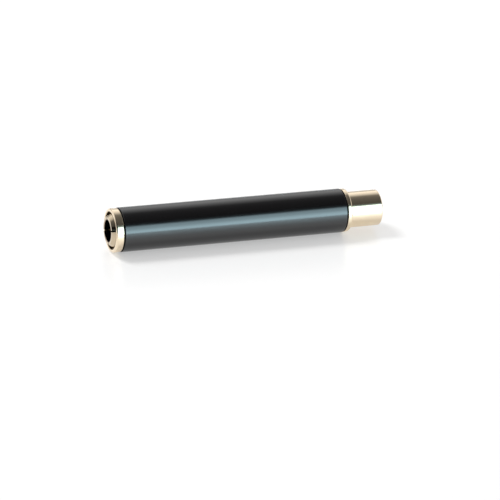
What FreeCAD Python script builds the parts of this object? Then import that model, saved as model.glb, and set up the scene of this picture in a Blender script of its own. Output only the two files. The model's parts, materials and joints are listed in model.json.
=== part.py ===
"""A clutch chalk holder: a lacquered tube with a gilt nose ferrule, a four-jaw collet and a gilt push button.

The holder lies along X on its barrel, nose towards -X and button towards +X, with +Z up and the origin on the
table under the middle of its length. Inside, a chalk tube joins the button to the collet. Its spring draws the
collet's cone back into the ferrule's seat, which closes the jaws, and pressing the button sends it forward, where
the jaws spread. All lengths are in millimetres and all angles in degrees.

A station is a distance back from the collet's front face at rest. Outlines are lists of (station, radius) corners
and are turned about the holder's axis. Radii build up from the chalk outwards, and stations from the nose back.
"""
import FreeCAD, Part
import Sketcher
import os

SIZES = [
    # radii, from the chalk outwards
    ("chalk_dia", 10.0, "stick of round school chalk"),
    ("chalk_gap", 0.2, "chalk to chalk tube, all round"),
    ("tube_wall", 0.5, "chalk tube and collet fingers"),
    ("sleeve_wall", 0.5, "collet sleeve over the chalk tube"),
    ("spring_inner_gap", 0.15, "collet sleeve to spring"),
    ("spring_wire", 0.9, "return spring wire diameter"),
    ("spring_outer_gap", 0.4, "spring to barrel bore"),
    ("barrel_wall", 0.6, "barrel tube wall"),
    ("lacquer_step", 0.1, "how far the gilt rings sit below the lacquer"),
    ("spacer_step", 0.3, "how far the black spacers sit below the lacquer"),
    ("collar_wall", 0.85, "rear collar around the button"),
    ("button_wall", 0.5, "push button skirt"),
    ("running_gap", 0.05, "all round a sliding fit"),
    # collet and its seat
    ("closed_bore_dia", 8.25, "jaw opening when closed and empty"),
    ("jaw_face_width", 0.95, "flat front face of the jaws"),
    ("jaw_edge", 0.12, "broken edges of the jaws' front face"),
    ("jaw_bevel_length", 1.9, "front bevel of the jaw heads"),
    ("jaw_land_length", 0.5, "widest ring of the jaw heads"),
    ("jaw_cone_length", 2.6, "closing cone of the jaw heads"),
    ("jaw_cone_angle", 15.0, "half angle of the closing cone"),
    ("jaw_lip_length", 3.0, "gripping lip behind the front face"),
    ("jaw_open_angle", 3.6, "how far a finger spreads at full press"),
    ("jaw_clocking", 25.0, "turn of the first jaw from the top"),
    ("slot_width", 0.5, "saw slot between closed jaws"),
    ("root_gap", 0.1, "between a finger's root and the sleeve"),
    ("seat_gap", 0.05, "closed cone to its seat"),
    ("finger_gap", 0.1, "spread fingers to the seat's narrow end"),
    ("mouth_gap", 0.55, "open ring around the jaw heads"),
    # stations, from the nose back
    ("collet_standout", 1.0, "front face ahead of the ferrule's rim"),
    ("ferrule_band", 2.85, "gilt band in front of the barrel"),
    ("ferrule_round", 0.6, "rounded front edge of the ferrule"),
    ("mouth_round", 0.2, "rounded edge of the ferrule's mouth"),
    ("gilt_edge", 0.2, "rounded edges of the gilt rings next to the spacers"),
    ("ferrule_spigot", 10.0, "ferrule inside the barrel"),
    ("ferrule_relief", 0.35, "ferrule bore behind the seat, over its narrow end"),
    ("spacer_thick", 0.5, "black spacer at each end of the barrel"),
    ("barrel_length", 86.8, "lacquered tube"),
    ("barrel_edge", 0.12, "rounded ends of the lacquered tube"),
    ("collar_band", 1.7, "gilt collar behind the barrel"),
    ("collar_sleeve", 7.0, "collar inside the barrel"),
    ("collar_round", 0.5, "rounded rear edge of the collar"),
    ("button_standout", 12.7, "button behind the collar at rest"),
    ("button_end_wall", 1.0, "closed end of the button"),
    ("button_round", 0.45, "rounded edge of the button's end"),
    ("press_stroke", 5.0, "travel of the button"),
    ("stop_gap", 0.1, "button skirt to its stop at full press"),
    # inside
    ("washer_thick", 0.8, "spring washers"),
    ("washer_gap", 0.25, "spread fingers to the front washer's hole"),
    ("sleeve_clearance", 1.65, "collet sleeve to front washer at full press"),
    ("sleeve_length", 9.0, "collet sleeve behind the fingers"),
    ("sleeve_shoulder", 1.9, "sleeve ahead of the chalk tube's end"),
    ("spring_length", 29.0, "return spring as fitted"),
    ("spring_turns", 9.0, "turns of the return spring"),
    ("spring_end_gap", 0.1, "spring to each washer"),
    ("clip_thick", 0.8, "retaining clip on the chalk tube"),
    ("clip_depth", 0.25, "groove that the clip sits in"),
    ("clip_rise", 0.75, "clip above the chalk tube"),
    ("clip_mouth", 5.0, "opening of the clip"),
    ("clip_play", 0.05, "washer to clip, and clip in its groove"),
    ("bush_length", 6.0, "rear guide bush"),
    ("plug_length", 6.0, "chalk tube inside its plug"),
    ("plug_end", 3.0, "closed end of the plug"),
    ("pad_thick", 2.0, "soft pad that the chalk rests on"),
    ("pad_gap", 0.1, "pad to chalk tube, all round"),
]
JAWS = 4
FULL_TURN = 360
QUARTER_TURN = 90
NEAR = 1e-4
ALONG = FreeCAD.Vector(1, 0, 0)
ACROSS = FreeCAD.Vector(0, 1, 0)
PARTS_FOLDER = "parts"

doc = FreeCAD.newDocument("ChalkHolder")


def fill_sheet():
    """Writes each driving size, its name and its meaning to the document's spreadsheet."""
    sheet = doc.addObject("Spreadsheet::Sheet", "Sizes")
    for row, (alias, number, meaning) in enumerate(SIZES, start=1):
        sheet.set(f"A{row}", alias)
        sheet.set(f"B{row}", str(number))
        sheet.set(f"C{row}", meaning)
        sheet.setAlias(f"B{row}", alias)
    doc.recompute()
    return sheet


sheet = fill_sheet()


def cell(alias):
    """The expression that reads one driving size."""
    return f"Sizes.{alias}"


def total(*terms):
    """The expression for a sum of driving sizes, named by their aliases, and other expressions."""
    names = {alias for alias, _, _ in SIZES}
    return "(" + " + ".join(cell(t) if t in names else str(t) for t in terms) + ")"


def less(first, *rest):
    """The expression for the first term with the rest taken from it."""
    return f"({total(first)} - {total(*rest)})"


def value(expression):
    """The present value of an expression, as a plain number."""
    found = sheet.evalExpression(str(expression))
    return float(getattr(found, "Value", found))


# Radii, from the chalk outwards.
chalk_radius = f"({cell('chalk_dia')} / 2)"
tube_bore = total(chalk_radius, "chalk_gap")
tube_radius = total(tube_bore, "tube_wall")
sleeve_radius = total(tube_radius, "sleeve_wall")
spring_inner = total(sleeve_radius, "spring_inner_gap")
spring_mean = total(spring_inner, f"{cell('spring_wire')} / 2")
barrel_bore = total(spring_inner, "spring_wire", "spring_outer_gap")
barrel_radius = total(barrel_bore, "barrel_wall")
gilt_radius = less(barrel_radius, "lacquer_step")
spacer_radius = less(barrel_radius, "spacer_step")
collar_bore = less(barrel_bore, "collar_wall")
button_radius = less(collar_bore, "running_gap")
button_bore = less(button_radius, "button_wall")
clip_radius = total(tube_radius, "clip_rise")
groove_radius = less(tube_radius, "clip_depth")

# The collet's head and the seat that closes it.
closed_bore = f"({cell('closed_bore_dia')} / 2)"
face_radius = total(closed_bore, "jaw_face_width")
seat_narrow = total(tube_radius, "finger_gap")
head_rear = less(seat_narrow, "seat_gap")
cone_rise = f"({cell('jaw_cone_length')} * tan({cell('jaw_cone_angle')} * 1 deg))"
head_radius = total(head_rear, cone_rise)
mouth_radius = total(head_radius, "mouth_gap")
relief_radius = total(seat_narrow, "ferrule_relief")
finger_middle = f"({tube_bore} + {cell('tube_wall')} / 2)"

# Stations, from the collet's front face back.
land_front = total("jaw_bevel_length")
cone_front = total(land_front, "jaw_land_length")
cone_back = total(cone_front, "jaw_cone_length")
rim = total("collet_standout")
band_back = total(rim, "ferrule_band")
barrel_front = total(band_back, "spacer_thick")
spigot_back = total(barrel_front, "ferrule_spigot")
barrel_back = total(barrel_front, "barrel_length")
collar_front = total(barrel_back, "spacer_thick")
collar_back = total(collar_front, "collar_band")
holder_back = total(collar_back, "button_standout")
front_washer_back = total(spigot_back, "washer_thick")
fingers_back = total(front_washer_back, "press_stroke", "sleeve_clearance")
sleeve_front = total(fingers_back, "root_gap")
sleeve_back = total(sleeve_front, "sleeve_length")
tube_front = total(sleeve_front, "sleeve_shoulder")
spring_front = total(front_washer_back, "spring_end_gap")
spring_back = total(front_washer_back, "spring_length")
rear_washer_back = total(spring_back, "washer_thick")
clip_front = total(rear_washer_back, "clip_play")
clip_back = total(clip_front, "clip_thick")
collar_sleeve_front = less(barrel_back, "collar_sleeve")
skirt_front = collar_sleeve_front
bush_back = less(skirt_front, "press_stroke", "stop_gap")
bush_front = less(bush_back, "bush_length")
button_inner_end = less(holder_back, "button_end_wall")
tube_back = less(button_inner_end, "plug_end")
plug_front = less(tube_back, "plug_length")
pad_front = less(tube_back, "pad_thick")

made = []


def seat_in_frame(piece, turn="0", about=ALONG, station="0"):
    """Puts a piece on the holder's axis above the table, with its own origin at a station, and keeps it for export."""
    piece.Placement = FreeCAD.Placement(FreeCAD.Vector(), FreeCAD.Rotation(about, value(turn)))
    piece.setExpression("Placement.Base.x", f"{station} - {holder_back} / 2")
    piece.setExpression("Placement.Base.z", barrel_radius)
    piece.setExpression("Placement.Rotation.Angle", f"{turn} * 1 deg")
    made.append(piece)
    return piece


def origin_plane(body, role):
    """One of a body's own origin planes."""
    return next(o for o in body.Origin.OriginFeatures if o.Role == role)


def pin_corner(sketch, line, station, radius):
    """Ties the start of one line of a profile to its station and radius."""
    for word, axis, expression in (("DistanceX", -2, station), ("DistanceY", -1, radius)):
        if value(expression) == 0:
            sketch.addConstraint(Sketcher.Constraint("PointOnObject", line, 1, axis))
            continue
        number = sketch.addConstraint(Sketcher.Constraint(word, -1, 1, line, 1, value(expression)))
        sketch.setExpression(f"Constraints[{number}]", str(expression))


def draw_outline(sketch, outline):
    """Draws a closed outline of (station, radius) corners, each tied to the driving sizes."""
    corners = [FreeCAD.Vector(value(x), value(y), 0) for x, y in outline]
    count = len(corners)
    for i in range(count):
        sketch.addGeometry(Part.LineSegment(corners[i], corners[(i + 1) % count]))
    for i in range(count):
        sketch.addConstraint(Sketcher.Constraint("Coincident", i, 2, (i + 1) % count, 1))
    for i, (station, radius) in enumerate(outline):
        pin_corner(sketch, i, station, radius)


def profile(body, name, outline):
    """A sketch of an outline in the plane through the holder's axis."""
    sketch = body.newObject("Sketcher::SketchObject", name)
    sketch.AttachmentSupport = (origin_plane(body, "XZ_Plane"), [""])
    sketch.MapMode = "FlatFace"
    draw_outline(sketch, outline)
    return sketch


def turned(label, outline):
    """A body turned about the holder's axis from an outline."""
    body = doc.addObject("PartDesign::Body", label)
    sketch = profile(body, label + "_profile", outline)
    feature = body.newObject("PartDesign::Revolution", label + "_turned")
    feature.Profile = sketch
    feature.ReferenceAxis = (sketch, ["H_Axis"])
    feature.Angle = FULL_TURN
    doc.recompute()
    return body


def ring_edge(shape, station, radius):
    """The name of the circular edge at a station and radius."""
    for number, edge in enumerate(shape.Edges, start=1):
        curve = edge.Curve
        if not isinstance(curve, Part.Circle):
            continue
        at_station = abs(curve.Center.x - value(station)) < NEAR
        if at_station and abs(curve.Radius - value(radius)) < NEAR:
            return f"Edge{number}"
    raise ValueError(f"no ring edge at station {value(station)} and radius {value(radius)}")


def round_edges(body, rings, radius):
    """Rounds a turned body's circular edges, given as (station, radius), by one driving radius."""
    before = body.Tip
    feature = body.newObject("PartDesign::Fillet", body.Name + "_round")
    feature.Base = (before, [ring_edge(before.Shape, x, y) for x, y in rings])
    feature.Radius = value(radius)
    feature.setExpression("Radius", radius)
    doc.recompute()
    return feature


def tube_outline(front, back, bore, radius):
    """The outline of a plain tube or washer."""
    return [(front, bore), (back, bore), (back, radius), (front, radius)]


def make_barrel():
    """The black lacquered tube that is held in the hand."""
    body = turned("barrel", tube_outline(barrel_front, barrel_back, barrel_bore, barrel_radius))
    round_edges(body, [(barrel_front, barrel_radius), (barrel_back, barrel_radius)], cell("barrel_edge"))
    return seat_in_frame(body)


def make_nose_ferrule():
    """The gilt ring at the nose: a band, a spigot pressed into the barrel, and the cone that closes the jaws."""
    body = turned("nose_ferrule", [
        (rim, mouth_radius),
        (rim, gilt_radius),
        (band_back, gilt_radius),
        (band_back, barrel_bore),
        (spigot_back, barrel_bore),
        (spigot_back, relief_radius),
        (cone_back, relief_radius),
        (cone_back, seat_narrow),
        (cone_front, total(seat_narrow, cone_rise)),
        (cone_front, mouth_radius),
    ])
    round_edges(body, [(rim, gilt_radius)], cell("ferrule_round"))
    round_edges(body, [(rim, mouth_radius)], cell("mouth_round"))
    round_edges(body, [(band_back, gilt_radius)], cell("gilt_edge"))
    return seat_in_frame(body)


def make_rear_collar():
    """The gilt collar that ends the barrel and guides the button."""
    body = turned("rear_collar", [
        (collar_sleeve_front, collar_bore),
        (collar_back, collar_bore),
        (collar_back, gilt_radius),
        (collar_front, gilt_radius),
        (collar_front, barrel_bore),
        (collar_sleeve_front, barrel_bore),
    ])
    round_edges(body, [(collar_back, gilt_radius)], cell("collar_round"))
    round_edges(body, [(collar_front, gilt_radius)], cell("gilt_edge"))
    return seat_in_frame(body)


def make_spacer(label, front, back):
    """A thin black ring between the lacquered tube and a gilt one."""
    return seat_in_frame(turned(label, tube_outline(front, back, barrel_bore, spacer_radius)))


def make_push_button():
    """The gilt cup at the rear, whose skirt slides inside the collar."""
    body = turned("push_button", [
        (skirt_front, button_bore),
        (button_inner_end, button_bore),
        (button_inner_end, "0"),
        (holder_back, "0"),
        (holder_back, button_radius),
        (skirt_front, button_radius),
    ])
    round_edges(body, [(holder_back, button_radius)], cell("button_round"))
    return seat_in_frame(body)


def make_chalk_tube():
    """The thin tube that holds the chalk and carries the button's push to the collet."""
    body = turned("chalk_tube", [
        (tube_front, tube_bore),
        (tube_back, tube_bore),
        (tube_back, tube_radius),
        (clip_back, tube_radius),
        (clip_back, groove_radius),
        (clip_front, groove_radius),
        (clip_front, tube_radius),
        (tube_front, tube_radius),
    ])
    return seat_in_frame(body)


def make_collet_sleeve():
    """The collet's solid root, pressed over the front of the chalk tube."""
    body = turned("collet_sleeve", [
        (sleeve_front, tube_bore),
        (tube_front, tube_bore),
        (tube_front, tube_radius),
        (sleeve_back, tube_radius),
        (sleeve_back, sleeve_radius),
        (tube_front, sleeve_radius),
        (sleeve_front, tube_radius),
    ])
    return seat_in_frame(body)


def make_tube_plug():
    """The plug that closes the chalk tube and fills the button's end."""
    body = turned("tube_plug", [
        (plug_front, tube_radius),
        (tube_back, tube_radius),
        (tube_back, "0"),
        (button_inner_end, "0"),
        (button_inner_end, button_bore),
        (plug_front, button_bore),
    ])
    return seat_in_frame(body)


def make_chalk_pad():
    """The soft disc that the chalk's end rests on."""
    pad_radius = less(tube_bore, "pad_gap")
    outline = [(pad_front, "0"), (tube_back, "0"), (tube_back, pad_radius), (pad_front, pad_radius)]
    return seat_in_frame(turned("chalk_pad", outline))


def make_plain_rings():
    """The washers at the spring's ends and the bush that guides the chalk tube."""
    washer_rim = less(barrel_bore, "running_gap")
    finger_hole = total(tube_radius, "washer_gap")
    tube_hole = total(tube_radius, "running_gap")
    rings = [
        ("front_spring_washer", spigot_back, front_washer_back, finger_hole, washer_rim),
        ("rear_spring_washer", spring_back, rear_washer_back, tube_hole, washer_rim),
        ("guide_bush", bush_front, bush_back, tube_hole, barrel_bore),
    ]
    return [seat_in_frame(turned(label, tube_outline(*rest))) for label, *rest in rings]


def primitive(kind, label, **sizes):
    """A Part primitive whose sizes are expressions."""
    piece = doc.addObject(kind, label)
    for name, expression in sizes.items():
        piece.setExpression(name, str(expression))
    return piece


def along_axis(piece, station, tilt="0"):
    """Turns a primitive's own Z to point back along the holder, from a station on its axis, with a tilt that lowers
    the front of it about the fingers' root."""
    piece.Placement = FreeCAD.Placement(FreeCAD.Vector(), FreeCAD.Rotation(ACROSS, QUARTER_TURN))
    reach = f"({fingers_back} - {station})"
    turn = f"({tilt} * 1 deg)"
    piece.setExpression("Placement.Rotation.Angle", f"{QUARTER_TURN} deg - {turn}")
    piece.setExpression(
        "Placement.Base.x", f"{fingers_back} - {reach} * cos({turn}) + {finger_middle} * sin({turn})"
    )
    piece.setExpression(
        "Placement.Base.z", f"{finger_middle} - {reach} * sin({turn}) - {finger_middle} * cos({turn})"
    )
    return piece


def combine(kind, label, base, tool):
    """A boolean of two pieces."""
    piece = doc.addObject(kind, label)
    piece.Base = base
    piece.Tool = tool
    return piece


def round_bar(label, station, back, radius, tilt="0"):
    """A cylinder along the holder's axis between two stations."""
    length = f"({back} - {station})"
    bar = primitive("Part::Cylinder", label, Radius=radius, Height=length)
    return along_axis(bar, station, tilt)


def taper(label, station, back, front_radius, back_radius):
    """A cone frustum along the holder's axis between two stations."""
    length = f"({back} - {station})"
    cone = primitive("Part::Cone", label, Radius1=front_radius, Radius2=back_radius, Height=length)
    return along_axis(cone, station)


def jaw_wedge(label):
    """The quarter of the collet that one jaw keeps: a square bar with a corner on the slots' crossing."""
    side = f"(2 * {head_radius})"
    bar = primitive("Part::Box", label, Length=total(fingers_back), Width=side, Height=side)
    bar.Placement = FreeCAD.Placement(FreeCAD.Vector(), FreeCAD.Rotation(ALONG, QUARTER_TURN / 2))
    bar.setExpression("Placement.Base.z", f"{cell('slot_width')} / 2 * sqrt(2)")
    return bar


def make_jaw(number):
    """One jaw as it lies when closed: a head with the closing cone, on a finger that leans in from its root."""
    label = f"collet_jaw_{number}"
    lean = cell("jaw_open_angle")
    edge_back = total("jaw_edge")
    edge_radius = total(face_radius, "jaw_edge")
    head = doc.addObject("Part::MultiFuse", label + "_head")
    head.Shapes = [
        taper(label + "_front_edge", "0", edge_back, face_radius, edge_radius),
        taper(label + "_bevel", edge_back, land_front, edge_radius, head_radius),
        round_bar(label + "_land", land_front, cone_front, head_radius),
        taper(label + "_cone", cone_front, cone_back, head_radius, head_rear),
        round_bar(label + "_finger", cone_front, fingers_back, tube_radius, lean),
    ]
    hollow = doc.addObject("Part::MultiFuse", label + "_hollow")
    hollow.Shapes = [
        taper(label + "_bore_edge", "0", edge_back, total(closed_bore, "jaw_edge"), closed_bore),
        round_bar(label + "_bore", "0", fingers_back, closed_bore),
        round_bar(label + "_relief", cell("jaw_lip_length"), total(fingers_back, "tube_wall"), tube_bore, lean),
    ]
    bored = combine("Part::Cut", label + "_bored", head, hollow)
    jaw = combine("Part::Common", label, bored, jaw_wedge(label + "_wedge"))
    return seat_in_frame(jaw, f"({cell('jaw_clocking')} + {FULL_TURN / JAWS * (number - 1)})")


def make_return_spring():
    """The compression spring between the two washers, one plain helix of round wire."""
    wire_radius = f"{cell('spring_wire')} / 2"
    rise = f"({cell('spring_length')} - 2 * {cell('spring_end_gap')} - {cell('spring_wire')})"
    pitch = f"{rise} / {cell('spring_turns')}"
    path = primitive("Part::Helix", "spring_path", Radius=spring_mean, Height=rise, Pitch=pitch)
    section = primitive("Part::Circle", "spring_section", Radius=wire_radius)
    section.Placement = FreeCAD.Placement(FreeCAD.Vector(), FreeCAD.Rotation(ALONG, QUARTER_TURN))
    section.setExpression("Placement.Base.x", spring_mean)
    doc.recompute()
    spring = doc.addObject("Part::Sweep", "return_spring")
    spring.Sections = [section]
    spring.Spine = (path, ["Edge1"])
    spring.Solid = True
    spring.Frenet = True
    return seat_in_frame(spring, str(QUARTER_TURN), ACROSS, total(spring_front, wire_radius))


def make_retaining_clip():
    """The C-shaped clip in the chalk tube's groove, which takes the spring's push."""
    play = cell("clip_play")
    inner = f"({groove_radius} + {play})"
    ring = combine(
        "Part::Cut", "clip_ring",
        round_bar("clip_disc", clip_front, f"({clip_back} - {play})", clip_radius),
        round_bar("clip_hole", clip_front, clip_back, inner),
    )
    mouth = primitive("Part::Box", "clip_gap", Length=f"2 * {cell('clip_thick')}", Width=cell("clip_mouth"),
                      Height=f"2 * {clip_radius}")
    mouth.setExpression("Placement.Base.x", f"{clip_front} - {cell('clip_thick')} / 2")
    mouth.setExpression("Placement.Base.y", f"-{cell('clip_mouth')} / 2")
    return seat_in_frame(combine("Part::Cut", "retaining_clip", ring, mouth))


def check_all():
    """Stops if any object of the document failed or any sub-part's shape is empty or broken."""
    for item in doc.Objects:
        if "Invalid" in item.State or "Error" in item.State:
            raise RuntimeError(f"{item.Name} failed: {item.State}")
    for piece in made:
        if piece.Shape.isNull() or not piece.Shape.isValid():
            raise RuntimeError(f"{piece.Label} has no valid shape")


def export_all():
    """Writes each sub-part to its own STEP file and prints its volume and number of solids."""
    os.makedirs(PARTS_FOLDER, exist_ok=True)
    for piece in made:
        piece.Shape.exportStep(os.path.join(PARTS_FOLDER, piece.Label + ".step"))
        print(f"{piece.Label}: {len(piece.Shape.Solids)} solid, {piece.Shape.Volume:.1f} mm3")


make_barrel()
make_nose_ferrule()
make_spacer("front_spacer", band_back, barrel_front)
make_spacer("rear_spacer", barrel_back, collar_front)
make_rear_collar()
make_push_button()
make_chalk_tube()
make_collet_sleeve()
make_tube_plug()
make_chalk_pad()
make_plain_rings()
for number in range(1, JAWS + 1):
    make_jaw(number)
make_return_spring()
make_retaining_clip()
doc.recompute()
check_all()
export_all()
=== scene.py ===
"""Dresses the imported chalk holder: its finishes, its wound return spring, and a small studio around it.

Everything is in metres in the part's own frame. The holder lies along X, nose towards -X, on the floor at z = 0.
"""
import json
import math

import bmesh
import bpy
from mathutils import Matrix, Vector


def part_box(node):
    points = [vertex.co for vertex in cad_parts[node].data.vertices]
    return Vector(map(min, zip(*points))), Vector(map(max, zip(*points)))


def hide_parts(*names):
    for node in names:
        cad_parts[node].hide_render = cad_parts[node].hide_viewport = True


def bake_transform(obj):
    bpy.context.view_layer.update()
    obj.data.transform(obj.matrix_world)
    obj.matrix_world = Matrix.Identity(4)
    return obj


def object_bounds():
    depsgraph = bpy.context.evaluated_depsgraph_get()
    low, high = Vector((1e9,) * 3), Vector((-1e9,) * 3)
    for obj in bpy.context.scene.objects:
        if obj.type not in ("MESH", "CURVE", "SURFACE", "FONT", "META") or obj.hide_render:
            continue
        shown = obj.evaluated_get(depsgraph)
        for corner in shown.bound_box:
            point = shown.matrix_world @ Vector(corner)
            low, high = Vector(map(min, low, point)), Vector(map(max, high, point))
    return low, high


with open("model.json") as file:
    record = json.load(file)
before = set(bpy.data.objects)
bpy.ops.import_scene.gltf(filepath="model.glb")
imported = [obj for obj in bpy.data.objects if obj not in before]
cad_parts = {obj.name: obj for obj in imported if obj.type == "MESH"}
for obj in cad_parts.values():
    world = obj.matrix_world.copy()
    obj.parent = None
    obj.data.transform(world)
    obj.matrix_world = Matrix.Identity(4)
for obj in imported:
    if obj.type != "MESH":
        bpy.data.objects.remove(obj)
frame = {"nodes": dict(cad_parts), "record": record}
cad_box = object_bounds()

MM = 0.001

# The camera, as fitted to the barrel's edges and end rings.
CAMERA_AZIMUTH = -21.51
CAMERA_ELEVATION = 24.0
CAMERA_ROLL = 3.87
CAMERA_DISTANCE = 1.2067
CAMERA_TARGET = Vector((0.00325, 0.0, -0.00475))
CAMERA_LENS = 233.2
CAMERA_SENSOR = 36.0

AXIS_HEIGHT = 8.25 * MM
ALONG = Vector((1, 0, 0))
WHITE = (1, 1, 1, 1)

# Where shade is painted into the gilt's colour inside the nose: distances back from the part's front end, or out
# from the axis.
NOSE_DEPTH = 15 * MM
PAINTED_SHADE_START = (1.2 * MM, 1.6 * MM)
BEVEL_SHADE_LEVEL = 0.4
MOUTH_RADIUS = 7.1 * MM
BORE_RADIUS = 4.3 * MM
# Painted shade: the dark gilt colour of the nose's recesses, and the colour of its bore.
PAINTED_SHADE_COLOUR = (0.20, 0.155, 0.09)
PAINTED_BORE_SHADE = (0.30, 0.215, 0.16)


# ---------------------------------------------------------------- camera

def camera_axes(azimuth, elevation, roll):
    """The camera's right, up and back directions, from angles in degrees."""
    a, e, r = (math.radians(angle) for angle in (azimuth, elevation, roll))
    back = Vector((math.sin(a) * math.cos(e), -math.cos(a) * math.cos(e), math.sin(e)))
    level = Vector((math.cos(a), math.sin(a), 0))
    above = back.cross(level)
    right = math.cos(r) * level + math.sin(r) * above
    up = math.cos(r) * above - math.sin(r) * level
    return right, up, back


def add_camera():
    """The camera at the photograph's viewing angle."""
    right, up, back = camera_axes(CAMERA_AZIMUTH, CAMERA_ELEVATION, CAMERA_ROLL)
    data = bpy.data.cameras.new("camera")
    data.lens = CAMERA_LENS
    data.sensor_width = CAMERA_SENSOR
    data.clip_start = 0.01
    camera = bpy.data.objects.new("camera", data)
    place = CAMERA_TARGET + CAMERA_DISTANCE * back
    turn = Matrix((right, up, back)).transposed().to_4x4()
    camera.matrix_world = Matrix.Translation(place) @ turn
    bpy.context.scene.collection.objects.link(camera)
    bpy.context.scene.camera = camera


# ---------------------------------------------------------------- shader nodes

class Tree:
    """A few short calls for building a node tree."""

    def __init__(self, tree):
        self.tree = tree
        tree.nodes.clear()

    def add(self, kind, inputs=(), **settings):
        """A new node with settings. Its inputs, by name or number, are values or other nodes' outputs."""
        node = self.tree.nodes.new(kind)
        for name, setting in settings.items():
            setattr(node, name, setting)
        for key, source in dict(inputs).items():
            self.feed(node.inputs[key], source)
        return node

    def feed(self, socket, source):
        """Sets or links one input."""
        if isinstance(source, bpy.types.NodeSocket):
            self.tree.links.new(source, socket)
        else:
            socket.default_value = source

    def math(self, operation, first, second=0.0):
        """The output of a Math node."""
        return self.add("ShaderNodeMath", {0: first, 1: second}, operation=operation).outputs[0]

    def ramp(self, factor, stops):
        """The output of a Color Ramp with (place, colour) stops."""
        node = self.add("ShaderNodeValToRGB", {0: factor})
        elements = node.color_ramp.elements
        while len(elements) < len(stops):
            elements.new(1.0)
        for element, (place, colour) in zip(elements, stops):
            element.position = place
            element.color = (*colour, 1.0)
        return node.outputs[0]

    def scaled(self, vector, scale):
        """A vector output, multiplied part by part."""
        return self.add("ShaderNodeVectorMath", {0: vector, 1: scale}, operation="MULTIPLY").outputs[0]

    def noise(self, vector, scale, detail, roughness=0.5):
        """The grey output of a noise texture."""
        node = self.add(
            "ShaderNodeTexNoise",
            {"Vector": vector, "Scale": scale, "Detail": detail, "Roughness": roughness},
        )
        return node.outputs[0]

    def between(self, factor, low, high, start=0.3, end=0.7):
        """A factor mapped to the range from low to high."""
        node = self.add(
            "ShaderNodeMapRange",
            {"Value": factor, "From Min": start, "From Max": end, "To Min": low, "To Max": high},
        )
        return node.outputs[0]

    def mix(self, factor, first, second):
        """A mix of two colours, each three numbers or another node's output."""
        first, second = (c if isinstance(c, bpy.types.NodeSocket) else (*c, 1.0) for c in (first, second))
        return self.add("ShaderNodeMix", {0: factor, 6: first, 7: second}, data_type="RGBA").outputs[2]

    def bump(self, height, distance, normal=None):
        """A bump from a height, in metres at full height."""
        node = self.add("ShaderNodeBump", {"Height": height, "Strength": 1.0, "Distance": distance})
        if normal is not None:
            self.tree.links.new(normal, node.inputs["Normal"])
        return node.outputs[0]


def painted_nose_shade(tree, place, colour):
    """A gilt colour with shade painted in inside the nose: darker on the jaws' bevel, around their heads and in
    their bore.
    """
    x, y, z = tree.add("ShaderNodeSeparateXYZ", {0: place}).outputs
    station = tree.math("SUBTRACT", x, cad_box[0].x)
    height = tree.math("SUBTRACT", z, AXIS_HEIGHT)
    squared = tree.math("ADD", tree.math("MULTIPLY", y, y), tree.math("MULTIPLY", height, height))
    radius = tree.math("SQRT", squared)
    in_nose = tree.math("LESS_THAN", station, NOSE_DEPTH)
    deep = tree.between(station, BEVEL_SHADE_LEVEL, 1.0, *PAINTED_SHADE_START)
    within = tree.math("MULTIPLY", tree.math("LESS_THAN", radius, MOUTH_RADIUS), in_nose)
    bored = tree.math("MULTIPLY", tree.math("LESS_THAN", radius, BORE_RADIUS), in_nose)
    # Painted shade: the gilt within the mouth darkens, less at the bevel's front, and takes the bore's painted
    # shade colour in the bore.
    shaded_colour = tree.mix(tree.math("MULTIPLY", deep, within), colour, PAINTED_SHADE_COLOUR)
    return tree.mix(bored, shaded_colour, PAINTED_BORE_SHADE)


def finish(name, colours, roughness, patch, bumps, metallic=0.0, ior=1.5, grain=(1, 1, 1), paint_shade=None):
    """A procedural material. Its colour drifts between two near tones and its roughness between two values, over
    patches of one size. Each bump is a (stretch, depth) pair, with stretch in cycles per metre along each axis.
    A paint_shade is a function that paints shade into the colour by place."""
    material = bpy.data.materials.new(name)
    material.use_nodes = True
    tree = Tree(material.node_tree)
    place = tree.add("ShaderNodeTexCoord").outputs["Object"]
    drift = tree.noise(place, 1.0 / patch, 3.0)
    colour = tree.mix(tree.between(drift, 0.0, 1.0), *colours)
    wear = tree.noise(tree.scaled(place, grain), 2.3 / patch, 4.0)
    inputs = {
        "Base Color": paint_shade(tree, place, colour) if paint_shade else colour,
        "Roughness": tree.between(wear, *roughness),
        "Metallic": metallic,
        "IOR": ior,
    }
    normal = None
    for stretch, depth in bumps:
        height = tree.noise(tree.scaled(place, stretch), 1.0, 3.0, 0.6)
        normal = tree.bump(height, depth, normal)
    if normal is not None:
        inputs["Normal"] = normal
    shader = tree.add("ShaderNodeBsdfPrincipled", inputs)
    tree.add("ShaderNodeOutputMaterial", {"Surface": shader.outputs[0]})
    return material


# ---------------------------------------------------------------- finishes

TURNED = (5200.0, 160.0, 160.0)
DRAWN = (90.0, 3000.0, 3000.0)
FINE = (2600.0, 2600.0, 2600.0)
PEEL = (420.0, 420.0, 420.0)

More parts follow.
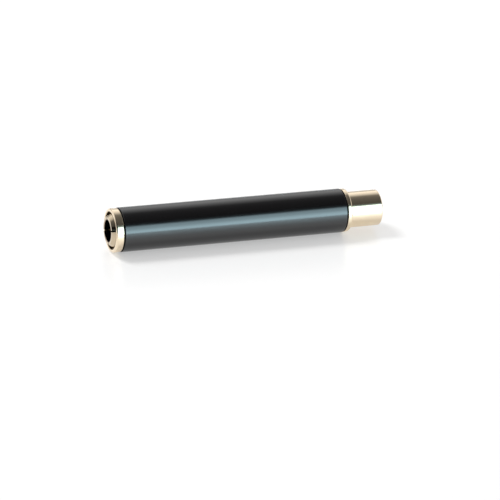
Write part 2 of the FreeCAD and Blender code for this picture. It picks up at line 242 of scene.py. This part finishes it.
FINISHES = {
    "black_lacquer": finish(
        "black_lacquer", [(0.0020, 0.0017, 0.0024), (0.0032, 0.0028, 0.0036)], (0.13, 0.17), 0.02,
        [(PEEL, 0.6e-6)], ior=1.7,
    ),
    "gilt": finish(
        "gilt", [(0.87, 0.725, 0.535), (0.92, 0.77, 0.575)], (0.09, 0.15), 0.006,
        # The gilt gets painted shade inside the nose.
        [(TURNED, 0.25e-6)], metallic=1.0, grain=(8.0, 1.0, 1.0), paint_shade=painted_nose_shade,
    ),
    "black_plastic": finish(
        "black_plastic", [(0.003, 0.003, 0.003), (0.006, 0.006, 0.006)], (0.7, 0.85), 0.004,
        [(FINE, 1.5e-6)], ior=1.15,
    ),
    "plain_brass": finish(
        "plain_brass", [(0.60, 0.44, 0.22), (0.70, 0.54, 0.30)], (0.28, 0.42), 0.01,
        [(DRAWN, 1.5e-6)], metallic=1.0, grain=(0.2, 1.0, 1.0),
    ),
    "white_plastic": finish(
        "white_plastic", [(0.74, 0.74, 0.70), (0.80, 0.80, 0.76)], (0.35, 0.45), 0.01,
        [(TURNED, 1.5e-6)],
    ),
    "grey_rubber": finish(
        "grey_rubber", [(0.05, 0.05, 0.052), (0.08, 0.08, 0.082)], (0.75, 0.9), 0.003,
        [(FINE, 6e-6)],
    ),
    "zinc_steel": finish(
        "zinc_steel", [(0.60, 0.61, 0.63), (0.70, 0.71, 0.72)], (0.25, 0.38), 0.003,
        [(FINE, 1e-6)], metallic=1.0,
    ),
    "spring_steel": finish(
        "spring_steel", [(0.38, 0.38, 0.39), (0.48, 0.48, 0.49)], (0.22, 0.34), 0.002,
        [(FINE, 1e-6)], metallic=1.0,
    ),
}


def dress_nodes():
    """Gives every CAD node the finish of its material slot in the record."""
    for part in frame["record"]["subparts"]:
        node = frame["nodes"][part["node"]]
        node.data.materials.clear()
        node.data.materials.append(FINISHES[part["material_slot"]])


# ---------------------------------------------------------------- return spring

WIRE_RADIUS = 0.45 * MM
COIL_RADIUS = 6.8 * MM
CLOSED_TURNS = 1.25
OPEN_TURNS = 7.0
CLOSED_PITCH = 2.1 * WIRE_RADIUS
END_INSET = 0.6 * WIRE_RADIUS
STEPS_PER_TURN = 72
WIRE_SIDES = 16


def coil_place(turn, front, back):
    """Where along X the wire's middle is after some turns. The coils are closed at both ends and open between."""
    closed = CLOSED_TURNS * CLOSED_PITCH
    first, last = front + END_INSET, back - END_INSET
    if turn <= CLOSED_TURNS:
        return first + CLOSED_PITCH * turn
    if turn >= CLOSED_TURNS + OPEN_TURNS:
        return last - CLOSED_PITCH * (2 * CLOSED_TURNS + OPEN_TURNS - turn)
    return first + closed + (last - first - 2 * closed) * (turn - CLOSED_TURNS) / OPEN_TURNS


def add_return_spring():
    """The wound spring, with closed, ground ends, drawn where the CAD spring lies; the CAD spring is hidden."""
    low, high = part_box("return_spring")
    front, back = low.x, high.x
    turns = 2 * CLOSED_TURNS + OPEN_TURNS
    steps = round(turns * STEPS_PER_TURN)
    mesh = bpy.data.meshes.new("wound_spring")
    build = bmesh.new()
    rings = []
    for step in range(steps + 1):
        turn = turns * step / steps
        angle = 2 * math.pi * turn
        outward = Vector((0, math.sin(angle), math.cos(angle)))
        middle = Vector((coil_place(turn, front, back), 0, AXIS_HEIGHT)) + COIL_RADIUS * outward
        ring = []
        for side in range(WIRE_SIDES):
            around = 2 * math.pi * side / WIRE_SIDES
            point = middle + WIRE_RADIUS * (math.cos(around) * outward + math.sin(around) * ALONG)
            point.x = min(max(point.x, front), back)
            ring.append(build.verts.new(point))
        rings.append(ring)
    for one, other in zip(rings, rings[1:]):
        for side in range(WIRE_SIDES):
            after = (side + 1) % WIRE_SIDES
            build.faces.new((one[side], one[after], other[after], other[side]))
    build.faces.new(rings[0])
    build.faces.new(list(reversed(rings[-1])))
    bmesh.ops.recalc_face_normals(build, faces=build.faces)
    build.to_mesh(mesh)
    build.free()
    mesh.shade_smooth()
    mesh.materials.append(FINISHES["spring_steel"])
    spring = bpy.data.objects.new("wound_spring", mesh)
    bpy.context.scene.collection.objects.link(spring)
    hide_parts("return_spring")
    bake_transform(spring)


# ---------------------------------------------------------------- studio

FLOOR_SIDE = 8.0
FLOOR_COLOUR = (0.60, 0.60, 0.60, 1)
FLOOR_LIFT = 0.42
WORLD_PEAK = 6.2
FILL = 0.55
# Brightness by direction around the X axis: 0 is level on the camera's side, 0.5 overhead, 1 level behind.
LAMP_TINT = (0.65, 0.905, 1.0)
LAMP = [(0.00, 1.02), (0.05, 1.08), (0.13, 0.64), (0.19, 0.59), (0.225, 0.037)]
ROOM = [
    (0.29, 0.011), (0.50, 0.019), (0.60, 0.030), (0.72, 0.138), (0.83, 0.20), (0.93, 0.105), (1.00, 0.08),
]
SIDE_WALL = 0.16
LAMP_TOP = 0.32
LAMP_SLANT = 0.03
LAMP_SPILL = 0.03
DARK_LEVEL = 0.04
# Fades by direction along X, from the first number to the second.
SLANT_SPAN = (0.25, 0.42)
LAMP_LEFT = (-0.12, -0.02)
LAMP_RIGHT = (0.46, 0.56)
DARK_END = (-0.92, -0.85)
WALL_SPAN = (0.74, 0.84)
WALL_FOOT = (0.20, 0.26)


def set_world():
    """What the part's reflections show: a dark room with a lamp panel low in front, a pale sweep behind and a pale
    wall at the button's end. All else is lit by an even white fill, and the camera sees white."""
    world = bpy.data.worlds.new("studio")
    bpy.context.scene.world = world
    world.use_nodes = True
    tree = Tree(world.node_tree)
    direction = tree.add("ShaderNodeTexCoord").outputs["Generated"]
    x, y, z = tree.add("ShaderNodeSeparateXYZ", {0: direction}).outputs
    turn = tree.math("ARCTAN2", z, tree.math("MULTIPLY", y, -1.0))
    factor = tree.math("DIVIDE", turn, math.pi)
    # The lamp panel has a left and a right end, and its upper edge slants.
    in_front = tree.math("LESS_THAN", factor, LAMP_TOP)
    slant = tree.math("MULTIPLY", in_front, tree.between(x, LAMP_SLANT, -LAMP_SLANT, *SLANT_SPAN))
    height = tree.math("ADD", factor, slant)
    left, right = tree.between(x, 0.0, 1.0, *LAMP_LEFT), tree.between(x, 1.0, 0.0, *LAMP_RIGHT)
    panel = tree.math("MULTIPLY", left, right)
    outside = tree.math("MULTIPLY", in_front, tree.math("SUBTRACT", 1.0, panel))
    kept = tree.math("SUBTRACT", 1.0, tree.math("MULTIPLY", outside, 1.0 - LAMP_SPILL))
    # The room is dark at its far left end.
    kept = tree.math("MULTIPLY", kept, tree.between(x, DARK_LEVEL, 1.0, *DARK_END))
    at_end, above = tree.between(x, 0.0, 1.0, *WALL_SPAN), tree.between(factor, 0.0, 1.0, *WALL_FOOT)
    wall = tree.math("MULTIPLY", at_end, above)
    stops = [(place, tuple(level * part for part in LAMP_TINT)) for place, level in LAMP]
    stops += [(place, (level, level, level)) for place, level in ROOM]
    colour = tree.mix(wall, tree.ramp(height, stops), (SIDE_WALL, SIDE_WALL, SIDE_WALL))
    rays = tree.add("ShaderNodeLightPath").outputs
    fill = tree.add("ShaderNodeBackground", {"Color": WHITE, "Strength": FILL})
    strength = tree.math("MULTIPLY", kept, WORLD_PEAK)
    studio = tree.add("ShaderNodeBackground", {"Color": colour, "Strength": strength})
    white = tree.add("ShaderNodeBackground", {"Color": WHITE, "Strength": 1.0})
    lit = tree.add(
        "ShaderNodeMixShader", {0: rays["Is Glossy Ray"], 1: fill.outputs[0], 2: studio.outputs[0]},
    )
    shown = tree.add(
        "ShaderNodeMixShader", {0: rays["Is Camera Ray"], 1: lit.outputs[0], 2: white.outputs[0]},
    )
    tree.add("ShaderNodeOutputWorld", {"Surface": shown.outputs[0]})


def add_floor():
    """The table top, with a little gloss. It keeps the part's shadow and shows as white elsewhere."""
    mesh = bpy.data.meshes.new("floor")
    half = FLOOR_SIDE / 2
    corners = [(-half, -half, 0), (half, -half, 0), (half, half, 0), (-half, half, 0)]
    mesh.from_pydata(corners, [], [(0, 1, 2, 3)])
    floor = bpy.data.objects.new("floor", mesh)
    bpy.context.scene.collection.objects.link(floor)
    material = bpy.data.materials.new("floor")
    material.use_nodes = True
    tree = Tree(material.node_tree)
    top = tree.add("ShaderNodeBsdfPrincipled", {"Base Color": FLOOR_COLOUR, "Roughness": 0.3})
    rays = tree.add("ShaderNodeLightPath").outputs
    mirrored = tree.math("MAXIMUM", rays["Is Glossy Ray"], rays["Is Transmission Ray"])
    seen = tree.math("MAXIMUM", rays["Is Camera Ray"], mirrored)
    lift = tree.add("ShaderNodeEmission", {"Color": WHITE, "Strength": tree.math("MULTIPLY", seen, FLOOR_LIFT)})
    both = tree.add("ShaderNodeAddShader", {0: top.outputs[0], 1: lift.outputs[0]})
    tree.add("ShaderNodeOutputMaterial", {"Surface": both.outputs[0]})
    mesh.materials.append(material)


def add_lamp(name, place, side, power):
    """A square soft white lamp that faces the part and isn't seen in reflections."""
    data = bpy.data.lights.new(name, "AREA")
    data.size = side
    data.energy = power
    lamp = bpy.data.objects.new(name, data)
    lamp.location = place
    lamp.rotation_euler = Vector(place).to_track_quat("Z", "Y").to_euler()
    lamp.visible_camera = False
    lamp.visible_glossy = False
    bpy.context.scene.collection.objects.link(lamp)


add_camera()
dress_nodes()
add_return_spring()
set_world()
add_floor()
add_lamp("key", (-0.50, 0.44, 1.00), 0.36, 7.7)
bpy.context.scene.view_settings.view_transform = "Standard"
